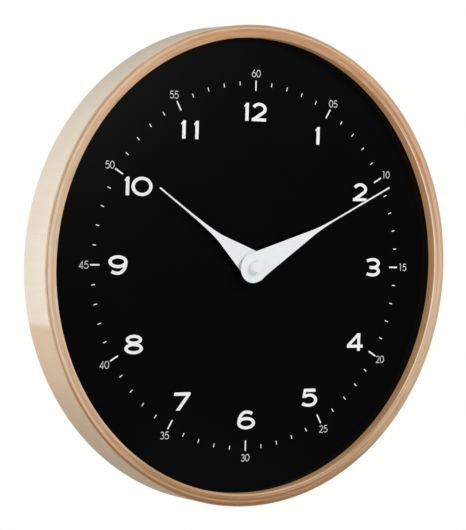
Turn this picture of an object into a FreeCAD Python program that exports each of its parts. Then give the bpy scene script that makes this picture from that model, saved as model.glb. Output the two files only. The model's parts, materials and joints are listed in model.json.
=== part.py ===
import FreeCAD, Part
import math
import os
import Sketcher

# Wall clock: a laminated bentwood hoop round a black dial, with a battery quartz movement behind it.
# Millimetres. The origin is the centre of the hanger's keyhole, in the plane of the wall: +Z is up,
# and the clock faces -Y. Lengths across the clock are given from the hands' axis, which is at x = 0
# and dim.axis_drop below the origin.

DIMENSIONS = [
    # hoop, dial and board
    ("axis_drop", 36.0), ("rim_radius", 175.0), ("rim_depth", 30.0), ("rim_wall", 9.2),
    ("rim_rebate", 3.2), ("rim_edge", 0.5), ("dial_recess", 7.2), ("sheet_thick", 0.6),
    ("board_thick", 3.0), ("board_gap", 0.4), ("board_hole", 4.2),
    # board clips and their screws
    ("clip_width", 10.0), ("clip_thick", 0.8), ("clip_foot", 8.0), ("clip_leg", 10.2),
    ("clip_gap", 0.1), ("screw_radius", 1.2), ("screw_length", 4.6), ("screw_head", 2.4),
    ("screw_head_thick", 1.3), ("screw_slot", 0.6), ("screw_inset", 12.0), ("pilot_radius", 1.25),
    ("clip_hole", 1.3),
    # hanger
    ("hanger_half", 14.0), ("hanger_thick", 1.0), ("hanger_drop", 14.0), ("hanger_rise", 32.0),
    ("hanger_top", 45.0), ("hanger_hole", 4.1), ("keyhole_radius", 4.0), ("keyslot_radius", 1.75),
    ("keyslot_rise", 5.5),
    # fixing
    ("gasket_thick", 0.8), ("gasket_radius", 9.0), ("bush_radius", 3.95), ("bush_bore", 2.55),
    ("bush_flange", 6.0), ("bush_flange_thick", 0.6), ("bush_tail", 4.5), ("bush_proud", 3.2),
    ("washer_radius", 7.0), ("washer_bore", 4.1), ("washer_thick", 0.4), ("nut_flats", 11.0),
    ("nut_bore", 4.0), ("nut_thick", 2.0),
    # hands and cap
    ("hand_thick", 0.5), ("hour_level", 5.0), ("minute_level", 7.0), ("hour_angle", -56.3),
    ("minute_angle", 63.3), ("hour_length", 99.3), ("minute_length", 134.5), ("hour_tail", 0.8),
    ("hour_slope", 0.235), ("hour_neck", 35.0), ("hour_neck_half", 2.95), ("hour_fade", 88.0),
    ("hour_tip_half", 0.53), ("minute_tail", 2.45), ("minute_slope", 0.152), ("minute_neck", 57.0),
    ("minute_neck_half", 1.95), ("minute_fade", 86.0), ("minute_tip_half", 0.55), ("collet_wall", 1.1),
    ("hour_collet_deep", 1.0), ("minute_collet_deep", 0.9), ("cap_radius", 4.7), ("cap_height", 3.4),
    ("cap_edge", 0.4), ("cap_bore", 1.35), ("cap_bore_deep", 2.4), ("cap_step", 0.2),
    # movement shells
    ("case_half", 28.0), ("case_depth", 14.4), ("case_wall", 1.2), ("case_floor", 1.0),
    ("case_corner", 3.0), ("cover_thick", 1.0), ("cover_hole", 2.1), ("bay_wall", 0.8),
    ("bay_top", 11.35), ("bay_wall_half", 26.0), ("post_place", 24.0), ("post_low", 8.0),
    ("post_radius", 1.6), ("pin_radius", 0.8), ("pin_hole", 0.85), ("plate_thick", 0.8),
    ("plate_half", 26.0), ("plate_low", 10.6), ("plate_high", 26.2), ("pillar_radius", 1.0),
    ("train_left", 13.5), ("train_right", 13.8), ("train_low", 10.8), ("train_high", 20.0),
    ("support_left", 2.5), ("support_right", 8.0), ("support_high", 20.7),
    # arbors; fit_gap is the running clearance on the radius
    ("fit_gap", 0.05), ("arbor_radius", 0.45), ("pipe_radius", 2.5), ("minute_radius", 1.7),
    ("minute_thread", 1.3), ("minute_stub", 1.2), ("motion_pin", 0.9), ("knob_shaft", 1.2),
    ("knob_neck", 2.0), ("knob_pivot", 0.8), ("knob_boss", 2.0), ("pivot_length", 0.6),
    ("end_gap", 0.1), ("end_play", 0.2), ("pin_play", 0.15), ("pipe_proud", 0.2), ("stub_over", 0.25),
    ("knob_boss_deep", 1.4), ("knob_neck_long", 1.0), ("knob_grip", 1.3), ("seconds_reach", 0.9),
    # gears: tooth share of the pitch, addendum and dedendum in modules
    ("tooth_share", 0.42), ("addendum", 0.85), ("dedendum", 1.15), ("setting_module", 0.4),
    ("hour_teeth", 48), ("motion_pinion_teeth", 12), ("motion_teeth", 48), ("cannon_teeth", 16),
    ("knob_gear_teeth", 16), ("centre_teeth", 64), ("third_pinion_teeth", 8), ("third_teeth", 60),
    ("seconds_pinion_teeth", 8), ("seconds_teeth", 40), ("inter_pinion_teeth", 10),
    ("inter_teeth", 75), ("rotor_teeth", 10), ("third_module", 0.27), ("inter_module", 0.36),
    ("rotor_module", 0.2), ("knurl_teeth", 30),
    # directions from one arbor to the next, in degrees from +X towards +Z
    ("motion_turn", 135.0), ("knob_turn", 150.0), ("third_turn", 0.0), ("inter_turn", 100.0),
    ("rotor_turn", 60.0),
    # layers, as distances behind the case's floor
    ("hour_layer", 0.2), ("motion_layer", 1.7), ("cannon_layer", 1.6), ("middle_layer", 2.8),
    ("third_pinion_layer", 3.8), ("centre_layer", 3.9), ("spring_layer", 4.75),
    ("seconds_pinion_layer", 5.2), ("third_layer", 5.3), ("inter_pinion_layer", 6.6),
    ("seconds_layer", 6.7), ("rotor_pinion_layer", 8.0), ("inter_layer", 8.1), ("magnet_layer", 9.1),
    ("stator_layer", 9.6), ("train_layer", 11.5), ("wheel_thick", 0.8), ("inter_thick", 0.6),
    ("pinion_thick", 1.0), ("spring_thick", 0.15), ("spring_radius", 2.6),
    # motor and electronics
    ("magnet_radius", 3.0), ("magnet_thick", 2.0), ("stator_thick", 1.0), ("stator_bore", 3.5),
    ("ring_left", 4.0), ("ring_right", 9.4), ("ring_low", 10.2), ("link_low", 13.2), ("link_high", 16.2),
    ("link_left", 14.4), ("link_right", 17.4), ("leg_width", 3.0), ("coil_x", 22.0), ("coil_low", 0.5),
    ("coil_high", 17.7),
    ("core_low", 4.0), ("core_high", 22.2), ("bobbin_tube", 1.9), ("bobbin_flange", 3.5),
    ("bobbin_flange_thick", 0.8), ("winding_radius", 3.3), ("winding_gap", 0.05),
    ("circuit_left", 17.9), ("circuit_right", 26.3), ("circuit_low", 11.0), ("circuit_high", 18.0),
    ("circuit_thick", 0.8), ("chip_size", 3.0), ("chip_thick", 1.0), ("chip_left", 19.0),
    ("chip_low", 10.0), ("crystal_radius", 1.0), ("crystal_left", 19.5), ("crystal_length", 6.0),
    ("crystal_low", 4.5),
    # battery and contacts
    ("cell_radius", 7.1), ("cell_length", 49.2), ("cell_left", 24.0), ("nub_radius", 2.7),
    ("nub_length", 1.0), ("cell_low", 19.4), ("cell_layer", 7.2), ("contact_thick", 0.3),
    ("contact_inset", 26.3), ("contact_half", 2.5), ("strap_layer", 3.7), ("strap_wide", 3.0),
    ("strap_right", 20.0), ("strap_high", 11.0), ("contact_rise", 3.0), ("positive_high", 6.0),
    ("leaf_half", 2.4), ("leaf_inner", 2.0), ("leaf_press", 0.1), ("leaf_slack", 0.5), ("leaf_wide", 4.0),
]

CLIP_COUNT = 6
TRAIN_PILLARS = [(-12.0, -8.0), (-10.0, 18.0), (12.0, 10.5), (1.0, -9.8)]
TOLERANCE = 1e-6
MOTION_CENTRE_DISTANCE = "(dim.cannon_teeth + dim.motion_teeth) * dim.setting_module / 2"
ALONG_Y = FreeCAD.Rotation(FreeCAD.Vector(1, 0, 0), -90)
ALONG_Y_SEAM_UP = FreeCAD.Rotation(FreeCAD.Vector(0, 0, 1), FreeCAD.Vector(1, 0, 0),
                                   FreeCAD.Vector(0, 1, 0), "ZXY")
ALONG_X = FreeCAD.Rotation(FreeCAD.Vector(0, 1, 0), 90)
Y_AXIS = FreeCAD.Vector(0, 1, 0)
PRESSURE_ANGLE = math.radians(20)

doc = FreeCAD.newDocument("WallClock")
sheet = doc.addObject("Spreadsheet::Sheet", "dim")
for row, (alias, number) in enumerate(DIMENSIONS, start=1):
    sheet.set(f"A{row}", alias)
    sheet.set(f"B{row}", str(number))
    sheet.setAlias(f"B{row}", alias)
doc.recompute()

# Levels along Y, as expressions, from the dial's face back to the movement's rear cover
DIAL = "(dim.dial_recess - dim.rim_depth)"
SHEET_BACK = f"({DIAL} + dim.sheet_thick)"
BOARD_BACK = f"({SHEET_BACK} + dim.board_thick)"
HANGER_BACK = f"({BOARD_BACK} + dim.hanger_thick)"
CASE_FRONT = f"({HANGER_BACK} + dim.gasket_thick)"
CASE_FLOOR = f"({CASE_FRONT} + dim.case_floor)"
COVER_FRONT = f"({CASE_FRONT} + dim.case_depth)"
COVER_BACK = f"({COVER_FRONT} + dim.cover_thick)"
MIDDLE_FRONT = f"({CASE_FLOOR} + dim.middle_layer)"
MIDDLE_BACK = f"({MIDDLE_FRONT} + dim.plate_thick)"
TRAIN_FRONT = f"({CASE_FLOOR} + dim.train_layer)"
TRAIN_BACK = f"({TRAIN_FRONT} + dim.plate_thick)"

nodes = []


def size(expression):
    """The number that an expression over the sheet stands for."""
    return float(sheet.evalExpression(str(expression)))


def bind(thing, **expressions):
    """Bind properties of an object to expressions over the sheet."""
    for name, expression in expressions.items():
        thing.setExpression(name, str(expression))


def place(thing, x, y, z):
    """Put an object at x and z from the hands' axis and y from the wall."""
    thing.setExpression("Placement.Base.x", str(x))
    thing.setExpression("Placement.Base.y", str(y))
    thing.setExpression("Placement.Base.z", f"{z} - dim.axis_drop")


def rod(radius, front, back, x="0", z="0"):
    """A round bar along Y."""
    bar = doc.addObject("Part::Cylinder", "rod")
    bar.Placement.Rotation = ALONG_Y
    bind(bar, Radius=radius, Height=f"({back}) - ({front})")
    place(bar, x, front, z)
    return bar


def bar_along_x(radius, left, right, y, z):
    """A round bar along X."""
    bar = doc.addObject("Part::Cylinder", "bar")
    bar.Placement.Rotation = ALONG_X
    bind(bar, Radius=radius, Height=f"({right}) - ({left})")
    place(bar, left, y, z)
    return bar


def post(radius, low, high, x, y):
    """A round bar along Z."""
    bar = doc.addObject("Part::Cylinder", "post")
    bind(bar, Radius=radius, Height=f"({high}) - ({low})")
    place(bar, x, y, low)
    return bar


def block(left, right, front, back, low, high):
    """A box between six levels."""
    box = doc.addObject("Part::Box", "block")
    bind(box, Length=f"({right}) - ({left})", Width=f"({back}) - ({front})", Height=f"({high}) - ({low})")
    place(box, left, front, low)
    return box


def join(*things):
    """One solid from several."""
    fused = doc.addObject("Part::MultiFuse", "join")
    fused.Shapes = list(things)
    fused.Refine = True
    return fused


def cut(base, *tools):
    """A solid with others taken away from it."""
    result = doc.addObject("Part::Cut", "cut")
    result.Base = base
    result.Tool = tools[0] if len(tools) == 1 else join(*tools)
    result.Refine = True
    return result


def tube(outer, inner, front, back):
    """A ring round the hands' axis."""
    return cut(rod(outer, front, back), rod(inner, front, back))


def keep(label, thing):
    """Name a finished piece, which makes it a node."""
    thing.Label = label
    nodes.append(thing)
    return thing


def made(label, shape, x=0.0, z=0.0, turn=0.0):
    """A finished piece from a shape built round its own axis, then placed and turned clockwise."""
    piece = doc.addObject("Part::Feature", label)
    piece.Shape = shape
    base = FreeCAD.Vector(x, 0, z - size("dim.axis_drop"))
    piece.Placement = FreeCAD.Placement(base, FreeCAD.Rotation(Y_AXIS, turn))
    return keep(label, piece)


def origin_plane(body, role):
    return [plane for plane in body.Origin.OriginFeatures if plane.Role == role][0]


def outlined_sketch(body, role, corners):
    """A closed sketch of straight sides whose corners are bound to the sheet."""
    sketch = body.newObject("Sketcher::SketchObject", "outline")
    sketch.AttachmentSupport = [(origin_plane(body, role), "")]
    sketch.MapMode = "FlatFace"
    places = [(size(across), size(along)) for across, along in corners]
    count = len(places)
    for index in range(count):
        start = FreeCAD.Vector(*places[index], 0)
        end = FreeCAD.Vector(*places[(index + 1) % count], 0)
        sketch.addGeometry(Part.LineSegment(start, end))
    for index in range(count):
        sketch.addConstraint(Sketcher.Constraint("Coincident", index, 2, (index + 1) % count, 1))
    for index, corner in enumerate(corners):
        bind_corner(sketch, index, "DistanceX", corner[0], places[index][0], -2)
        bind_corner(sketch, index, "DistanceY", corner[1], places[index][1], -1)
    return sketch


def bind_corner(sketch, index, kind, expression, number, axis):
    """Hold one coordinate of a corner: on the axis where it is nought, else at a bound distance."""
    if number == 0:
        sketch.addConstraint(Sketcher.Constraint("PointOnObject", index, 1, axis))
        return
    constraint = sketch.addConstraint(Sketcher.Constraint(kind, -1, 1, index, 1, number))
    sketch.setExpression(f"Constraints[{constraint}]", expression)


def turned(name, corners):
    """A body turned about the hands' axis from an outline of radius and level."""
    body = doc.addObject("PartDesign::Body", name)
    sketch = outlined_sketch(body, "XY_Plane", corners)
    revolution = body.newObject("PartDesign::Revolution", "turned")
    revolution.Profile = sketch
    revolution.ReferenceAxis = (sketch, ["V_Axis"])
    revolution.Angle = 360
    sketch.Visibility = False
    body.Tip = revolution
    place(body, "0", "0", "0")
    return body


def padded(name, corners, back, thickness):
    """A flat plate with an outline in X and Z, from a level at its back towards the front."""
    body = doc.addObject("PartDesign::Body", name)
    sketch = outlined_sketch(body, "XZ_Plane", corners)
    pad = body.newObject("PartDesign::Pad", "plate")
    pad.Profile = sketch
    pad.setExpression("Length", thickness)
    body.Tip = pad
    place(body, "0", back, "0")
    return body


def rounded(body, radius, chosen):
    """Round the chosen edges of a body's last feature."""
    doc.recompute()
    base = body.Tip
    names = [f"Edge{index}" for index, edge in enumerate(base.Shape.Edges, start=1) if chosen(edge)]
    fillet = body.newObject("PartDesign::Fillet", "rounding")
    fillet.Base = (base, names)
    fillet.setExpression("Radius", radius)
    body.Tip = fillet
    return body


def runs_along_y(edge):
    ends = [vertex.Point for vertex in edge.Vertexes]
    return len(ends) == 2 and abs(ends[0].x - ends[1].x) + abs(ends[0].z - ends[1].z) < TOLERANCE


def rectangle(left, right, low, high):
    return [(left, low), (right, low), (right, high), (left, high)]


def round_the_dial(label, template):
    """Copies of one fastening, evenly spaced round the hands' axis, as one group of solids."""
    doc.recompute()
    centre = FreeCAD.Vector(0, 0, -size("dim.axis_drop"))
    copies = []
    for index in range(CLIP_COUNT):
        copy = template.Shape.copy()
        copy.rotate(centre, Y_AXIS, 360 / CLIP_COUNT * (index + 0.5))
        copies.append(copy)
    group = doc.addObject("Part::Feature", label)
    group.Shape = Part.makeCompound(copies)
    return group


# ---- gears ----


def half_tooth(teeth, module, radius):
    """Half the angle of an involute tooth at a radius."""
    pitch_radius = teeth * module / 2
    base_radius = pitch_radius * math.cos(PRESSURE_ANGLE)
    at_pitch = size("dim.tooth_share") * math.pi / teeth
    roll_at_pitch = math.tan(PRESSURE_ANGLE) - PRESSURE_ANGLE
    if radius <= base_radius:
        return at_pitch + roll_at_pitch
    angle = math.acos(base_radius / radius)
    return at_pitch + roll_at_pitch - (math.tan(angle) - angle)


def gear(teeth, module, front, thick, phase):
    """A gear round the Y axis with flat-sided teeth, one of them centred on the phase angle."""
    teeth = int(teeth)
    root = teeth * module / 2 - size("dim.dedendum") * module
    tip = teeth * module / 2 + size("dim.addendum") * module
    flank = max(teeth * module / 2 * math.cos(PRESSURE_ANGLE), root)
    radii = [root, flank, (flank + tip) / 2, tip]
    points = []
    for index in range(teeth):
        middle = phase + 2 * math.pi * index / teeth
        for side, order in ((-1, radii), (1, list(reversed(radii)))):
            for radius in order:
                angle = middle + side * half_tooth(teeth, module, radius)
                points.append(FreeCAD.Vector(radius * math.cos(angle), front, radius * math.sin(angle)))
    points = [point for index, point in enumerate(points)
              if point.distanceToPoint(points[index - 1]) > TOLERANCE]
    points.append(points[0])
    return Part.Face(Part.makePolygon(points)).extrude(FreeCAD.Vector(0, thick, 0))


def meshed_phase(teeth, phase, other_teeth, direction):
    """The phase that puts a gap of the other gear on a tooth of this one, in a direction from this one."""
    return direction + math.pi - (phase - direction) * teeth / other_teeth + math.pi / other_teeth


def shaft(radius, front, back):
    """A round bar along the Y axis."""
    return Part.makeCylinder(radius, back - front, FreeCAD.Vector(0, front, 0), Y_AXIS)


def beyond(place_from, distance, direction):
    return (place_from[0] + distance * math.cos(direction), place_from[1] + distance * math.sin(direction))


def fused(first, *others):
    return first.fuse(list(others)).removeSplitter()


FLOOR = size(CASE_FLOOR)


def layer(name):
    """The level of a layer inside the movement."""
    return FLOOR + size(f"dim.{name}")


# Centres of the arbors, and the modules that the centre distances fix
SETTING_MODULE = size("dim.setting_module")
THIRD_MODULE = size("dim.third_module")
INTER_MODULE = size("dim.inter_module")
ROTOR_MODULE = size("dim.rotor_module")
CANNON, MOTION, KNOB = size("dim.cannon_teeth"), size("dim.motion_teeth"), size("dim.knob_gear_teeth")
MOTION_PINION, HOUR = size("dim.motion_pinion_teeth"), size("dim.hour_teeth")
SECONDS_PINION, THIRD = size("dim.seconds_pinion_teeth"), size("dim.third_teeth")
THIRD_PINION, CENTRE = size("dim.third_pinion_teeth"), size("dim.centre_teeth")
INTER_PINION, SECONDS = size("dim.inter_pinion_teeth"), size("dim.seconds_teeth")
ROTOR, INTER = size("dim.rotor_teeth"), size("dim.inter_teeth")
MOTION_DISTANCE = size(MOTION_CENTRE_DISTANCE)
KNOB_DISTANCE = (KNOB + MOTION) * SETTING_MODULE / 2
THIRD_DISTANCE = (SECONDS_PINION + THIRD) * THIRD_MODULE / 2
INTER_DISTANCE = (INTER_PINION + SECONDS) * INTER_MODULE / 2
ROTOR_DISTANCE = (ROTOR + INTER) * ROTOR_MODULE / 2
HOUR_MODULE = 2 * MOTION_DISTANCE / (MOTION_PINION + HOUR)
CENTRE_MODULE = 2 * THIRD_DISTANCE / (THIRD_PINION + CENTRE)
MOTION_TURN, KNOB_TURN = math.radians(size("dim.motion_turn")), math.radians(size("dim.knob_turn"))
THIRD_TURN, INTER_TURN = math.radians(size("dim.third_turn")), math.radians(size("dim.inter_turn"))
ROTOR_TURN = math.radians(size("dim.rotor_turn"))
MOTION_PLACE = beyond((0, 0), MOTION_DISTANCE, MOTION_TURN)
KNOB_PLACE = beyond(MOTION_PLACE, KNOB_DISTANCE, KNOB_TURN)
THIRD_PLACE = beyond((0, 0), THIRD_DISTANCE, THIRD_TURN)
INTER_PLACE = beyond((0, 0), INTER_DISTANCE, INTER_TURN)
ROTOR_PLACE = beyond(INTER_PLACE, ROTOR_DISTANCE, ROTOR_TURN)

WHEEL = size("dim.wheel_thick")
PINION = size("dim.pinion_thick")
ARBOR = size("dim.arbor_radius")
GAP = size("dim.fit_gap")
PIVOT = size("dim.pivot_length")
PIVOT_FRONT = size(MIDDLE_BACK) - PIVOT
PIVOT_BACK = size(TRAIN_FRONT) + PIVOT


# ---- hoop, dial and board ----


def make_hoop():
    inner = "dim.rim_radius - dim.rim_wall"
    rebated = f"{inner} + dim.rim_rebate"
    front = "-dim.rim_depth"
    corners = [(inner, front), ("dim.rim_radius", front), ("dim.rim_radius", "0"), (rebated, "0"),
               (rebated, DIAL), (inner, DIAL)]
    body = turned("hoop_blank", corners)
    front_level = -size("dim.rim_depth")
    rounded(body, "dim.rim_edge", lambda edge: abs(edge.BoundBox.YMin - front_level) < TOLERANCE
            and abs(edge.BoundBox.YMax - front_level) < TOLERANCE)
    pilots = bar_along_x("dim.pilot_radius", "dim.rim_radius - dim.rim_wall",
                         "dim.rim_radius - dim.rim_wall + dim.rim_rebate + dim.screw_length",
                         "-dim.screw_inset", "0")
    keep("rim_hoop", cut(body, round_the_dial("pilot_holes", pilots)))


def make_dial():
    board = "dim.rim_radius - dim.rim_wall + dim.rim_rebate - dim.board_gap"
    keep("dial_sheet", tube(board, "dim.board_hole", DIAL, SHEET_BACK))
    keep("dial_board", tube(board, "dim.board_hole", SHEET_BACK, BOARD_BACK))


def make_clips():
    wall = "dim.rim_radius - dim.rim_wall + dim.rim_rebate - dim.clip_gap"
    half = "dim.clip_width / 2"
    foot = block(f"{wall} - dim.clip_foot", wall, BOARD_BACK, f"{BOARD_BACK} + dim.clip_thick",
                 f"-{half}", half)
    leg = block(f"{wall} - dim.clip_thick", wall, BOARD_BACK, f"{BOARD_BACK} + dim.clip_leg",
                f"-{half}", half)
    hole = bar_along_x("dim.clip_hole", f"{wall} - dim.clip_foot", wall, "-dim.screw_inset", "0")
    keep("board_clips", round_the_dial("clips", cut(join(foot, leg), hole)))

    seat = f"({wall} - dim.clip_thick)"
    head_end = f"({seat} - dim.screw_head_thick)"
    shank = bar_along_x("dim.screw_radius", seat, f"{seat} + dim.screw_length", "-dim.screw_inset", "0")
    head = bar_along_x("dim.screw_head", head_end, seat, "-dim.screw_inset", "0")
    slot_half = "dim.screw_slot / 2"
    slot = block(head_end, f"{head_end} + dim.screw_slot", "-dim.screw_inset - dim.screw_head",
                 "-dim.screw_inset + dim.screw_head", f"-{slot_half}", slot_half)
    keep("clip_screws", round_the_dial("screws", cut(join(shank, head), slot)))


# ---- hanger and fixing ----


def make_hanger():
    left, right = "-dim.hanger_half", "dim.hanger_half"
    bend = "dim.hanger_rise - dim.hanger_thick"
    plate = block(left, right, BOARD_BACK, HANGER_BACK, "-dim.hanger_drop", "dim.hanger_rise")
    web = block(left, right, BOARD_BACK, "0", bend, "dim.hanger_rise")
    flange = block(left, right, "-dim.hanger_thick", "0", bend, "dim.hanger_top")
    bush_hole = rod("dim.hanger_hole", BOARD_BACK, HANGER_BACK)
    keyhole = rod("dim.keyhole_radius", "-dim.hanger_thick", "0", z="dim.axis_drop")
    # The round hole's seam lies in the slot above it, so the hole's wall is one unbroken face
    keyhole.Placement.Rotation = ALONG_Y_SEAM_UP
    slot_top = rod("dim.keyslot_radius", "-dim.hanger_thick", "0", z="dim.axis_drop + dim.keyslot_rise")
    slot = block("-dim.keyslot_radius", "dim.keyslot_radius", "-dim.hanger_thick", "0",
                 "dim.axis_drop", "dim.axis_drop + dim.keyslot_rise")
    keep("hanger_plate", cut(join(plate, web, flange), bush_hole, keyhole, slot_top, slot))


def make_fixing():
    keep("mounting_gasket", tube("dim.gasket_radius", "dim.hanger_hole", HANGER_BACK, CASE_FRONT))
    flange_back = f"{CASE_FRONT} + dim.bush_flange_thick"
    corners = [("dim.bush_bore", f"{DIAL} - dim.bush_proud"),
               ("dim.bush_radius", f"{DIAL} - dim.bush_proud"),
               ("dim.bush_radius", CASE_FRONT), ("dim.bush_flange", CASE_FRONT),
               ("dim.bush_flange", flange_back), ("dim.bush_tail", flange_back),
               ("dim.bush_tail", CASE_FLOOR), ("dim.bush_bore", CASE_FLOOR)]
    keep("threaded_bush", turned("bush", corners))
    washer_front = f"({DIAL} - dim.washer_thick)"
    keep("dial_washer", tube("dim.washer_radius", "dim.washer_bore", washer_front, DIAL))
    nut = doc.addObject("Part::Prism", "nut_blank")
    nut.Polygon = 6
    nut.Placement.Rotation = ALONG_Y
    bind(nut, Circumradius="dim.nut_flats / sqrt(3)", Height="dim.nut_thick")
    place(nut, "0", f"{washer_front} - dim.nut_thick", "0")
    keep("fixing_nut", cut(nut, rod("dim.nut_bore", f"{washer_front} - dim.nut_thick", washer_front)))


# ---- hands ----


def hand_shape(name, bore, front):
    """A flat hand that points along +Z: a round tail, straight flanks and a neck that fades to a thin tip.

    The flanks are tangent to the tail's circle. Where the neck starts they have run in to its half-width,
    and the neck is a curve from there to the place where the hand is as thin as its tip.
    """
    tail, slope = size(f"dim.{name}_tail"), size(f"dim.{name}_slope")
    neck, neck_half = size(f"dim.{name}_neck"), size(f"dim.{name}_neck_half")
    tip_half = size(f"dim.{name}_tip_half")
    lean = math.atan(slope)
    start = FreeCAD.Vector(neck_half, front, neck)
    meet = FreeCAD.Vector(tip_half, front, neck + (neck_half - tip_half) / slope)
    fade = FreeCAD.Vector(tip_half, front, size(f"dim.{name}_fade"))
    tip = FreeCAD.Vector(tip_half, front, size(f"dim.{name}_length"))
    radius = (neck_half + slope * (neck + tail)) * math.cos(lean)
    tangent = FreeCAD.Vector(radius * math.cos(lean), front, radius * math.sin(lean) - tail)
    bottom = FreeCAD.Vector(0, front, -tail - radius)

    def mirrored(point):
        return FreeCAD.Vector(-point.x, point.y, point.z)

    def neck_curve(first, middle, last):
        curve = Part.BezierCurve()
        curve.setPoles([first, middle, last])
        return curve.toShape()

    edges = [Part.LineSegment(tangent, start).toShape(), neck_curve(start, meet, fade),
             Part.LineSegment(fade, tip).toShape(), Part.LineSegment(tip, mirrored(tip)).toShape(),
             Part.LineSegment(mirrored(tip), mirrored(fade)).toShape(),
             neck_curve(mirrored(fade), mirrored(meet), mirrored(start)),
             Part.LineSegment(mirrored(start), mirrored(tangent)).toShape(),
             Part.Arc(mirrored(tangent), bottom, tangent).toShape()]
    thick = size("dim.hand_thick")
    blank = Part.Face(Part.Wire(edges)).extrude(FreeCAD.Vector(0, thick, 0))
    return blank.cut(shaft(bore, front, front + thick))


def make_hands():
    thick = size("dim.hand_thick")
    hour_front = size(f"{DIAL} - dim.hour_level")
    minute_front = size(f"{DIAL} - dim.minute_level")
    hour_bore = size("dim.pipe_radius") + GAP / 2
    minute_bore = size("dim.minute_radius") + GAP / 2
    made("hour_hand", hand_shape("hour", hour_bore, hour_front), turn=size("dim.hour_angle"))
    made("minute_hand", hand_shape("minute", minute_bore, minute_front), turn=size("dim.minute_angle"))
    wall = size("dim.collet_wall")
    for label, bore, front, deep in (
            ("hour_hand_collet", hour_bore, hour_front + thick, size("dim.hour_collet_deep")),
            ("minute_hand_collet", minute_bore, minute_front + thick, size("dim.minute_collet_deep"))):
        ring = shaft(bore + wall, front, front + deep).cut(shaft(bore, front, front + deep))
        made(label, ring)


def make_cap():
    seat = f"({DIAL} - dim.minute_level)"
    shoulder = f"{seat} - dim.cap_step"
    top = f"{seat} - dim.cap_height"
    corners = [("0", top), ("dim.cap_radius - dim.cap_edge", top),
               ("dim.cap_radius", f"{top} + dim.cap_edge"), ("dim.cap_radius", seat),
               ("dim.minute_radius + dim.fit_gap", seat), ("dim.minute_radius + dim.fit_gap", shoulder),
               ("dim.cap_bore", shoulder), ("dim.cap_bore", f"{seat} - dim.cap_bore_deep"),
               ("0", f"{seat} - dim.cap_bore_deep")]
    keep("hand_cap_nut", turned("cap", corners))


# ---- movement shells ----


def corner_posts():
    """Places of the four posts that carry the middle plate."""
    return [(x, z) for x in ("-dim.post_place", "dim.post_place")
            for z in ("-dim.post_low", "dim.post_place")]


def make_front_case():
    half = "dim.case_half"
    inner = "dim.case_half - dim.case_wall"
    outline = rectangle(f"-{half}", half, f"-{half}", half)
    shell = padded("case_blank", outline, COVER_FRONT, "dim.case_depth")
    rounded(shell, "dim.case_corner", runs_along_y)
    hollow = block(f"-({inner})", inner, CASE_FLOOR, COVER_FRONT, f"-({inner})", inner)
    counterbore = rod("dim.bush_flange + dim.fit_gap", CASE_FRONT, f"{CASE_FRONT} + dim.bush_flange_thick")
    through = rod("dim.bush_tail + dim.fit_gap", CASE_FRONT, CASE_FLOOR)
    bay = block("-dim.bay_wall_half", "dim.bay_wall_half", CASE_FLOOR, COVER_FRONT,
                "-dim.bay_top - dim.bay_wall", "-dim.bay_top")
    posts = [rod("dim.post_radius", CASE_FLOOR, MIDDLE_FRONT, x, z) for x, z in corner_posts()]
    pins = [rod("dim.pin_radius", MIDDLE_FRONT, MIDDLE_BACK, x, z) for x, z in corner_posts()]
    motion_pin = rod("dim.motion_pin", CASE_FLOOR, f"{MIDDLE_FRONT} - dim.pin_play", *MOTION_PLACE)
    boss_back = f"{CASE_FLOOR} + dim.knob_boss_deep"
    boss = cut(rod("dim.knob_boss", CASE_FLOOR, boss_back, *KNOB_PLACE),
               rod("dim.knob_pivot + dim.fit_gap", CASE_FLOOR, boss_back, *KNOB_PLACE))
    keep("movement_front_case",
         join(cut(shell, hollow, counterbore, through), bay, motion_pin, boss, *posts, *pins))


def make_rear_cover():
    half = "dim.case_half"
    cover = padded("cover_blank", rectangle(f"-{half}", half, "-dim.bay_top - dim.bay_wall", half),
                   COVER_BACK, "dim.cover_thick")
    upper = -size("dim.bay_top")
    rounded(cover, "dim.case_corner", lambda edge: runs_along_y(edge) and edge.BoundBox.ZMin > upper)
    keep("movement_rear_cover", cut(cover, rod("dim.cover_hole", COVER_FRONT, COVER_BACK, *KNOB_PLACE)))


def make_plates():
    pivots = [(0, 0), THIRD_PLACE, INTER_PLACE, ROTOR_PLACE]
    middle = padded("middle_blank", rectangle("-dim.plate_half", "dim.plate_half", "-dim.plate_low",
                                              "dim.plate_high"), MIDDLE_BACK, "dim.plate_thick")
    holes = [rod("dim.minute_radius + dim.fit_gap", MIDDLE_FRONT, MIDDLE_BACK),
             rod("dim.knob_shaft + dim.fit_gap", MIDDLE_FRONT, MIDDLE_BACK, *KNOB_PLACE)]
    holes += [rod("dim.arbor_radius + dim.fit_gap", MIDDLE_FRONT, MIDDLE_BACK, *spot)
              for spot in pivots[1:]]
    holes += [rod("dim.pin_hole", MIDDLE_FRONT, MIDDLE_BACK, x, z) for x, z in corner_posts()]
    stator_front = f"{CASE_FLOOR} + dim.stator_layer"
    core_front = f"{stator_front} - dim.stator_thick"
    supports = [rod("dim.pillar_radius", MIDDLE_BACK, back, x, "dim.support_high")
                for x, back in (("-dim.support_left", stator_front), ("dim.support_right", stator_front),
                                ("dim.coil_x", core_front))]
    keep("middle_plate", join(cut(middle, *holes), *supports))

    outline = rectangle("-dim.train_left", "dim.train_right", "-dim.train_low", "dim.train_high")
    train = padded("train_blank", outline, TRAIN_BACK, "dim.plate_thick")
    bearings = [rod("dim.arbor_radius + dim.fit_gap", TRAIN_FRONT, TRAIN_BACK, *spot) for spot in pivots]
    pillars = [rod("dim.pillar_radius", MIDDLE_BACK, TRAIN_FRONT, x, z) for x, z in TRAIN_PILLARS]
    keep("train_plate", join(cut(train, *bearings), *pillars))


# ---- motion work ----


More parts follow.
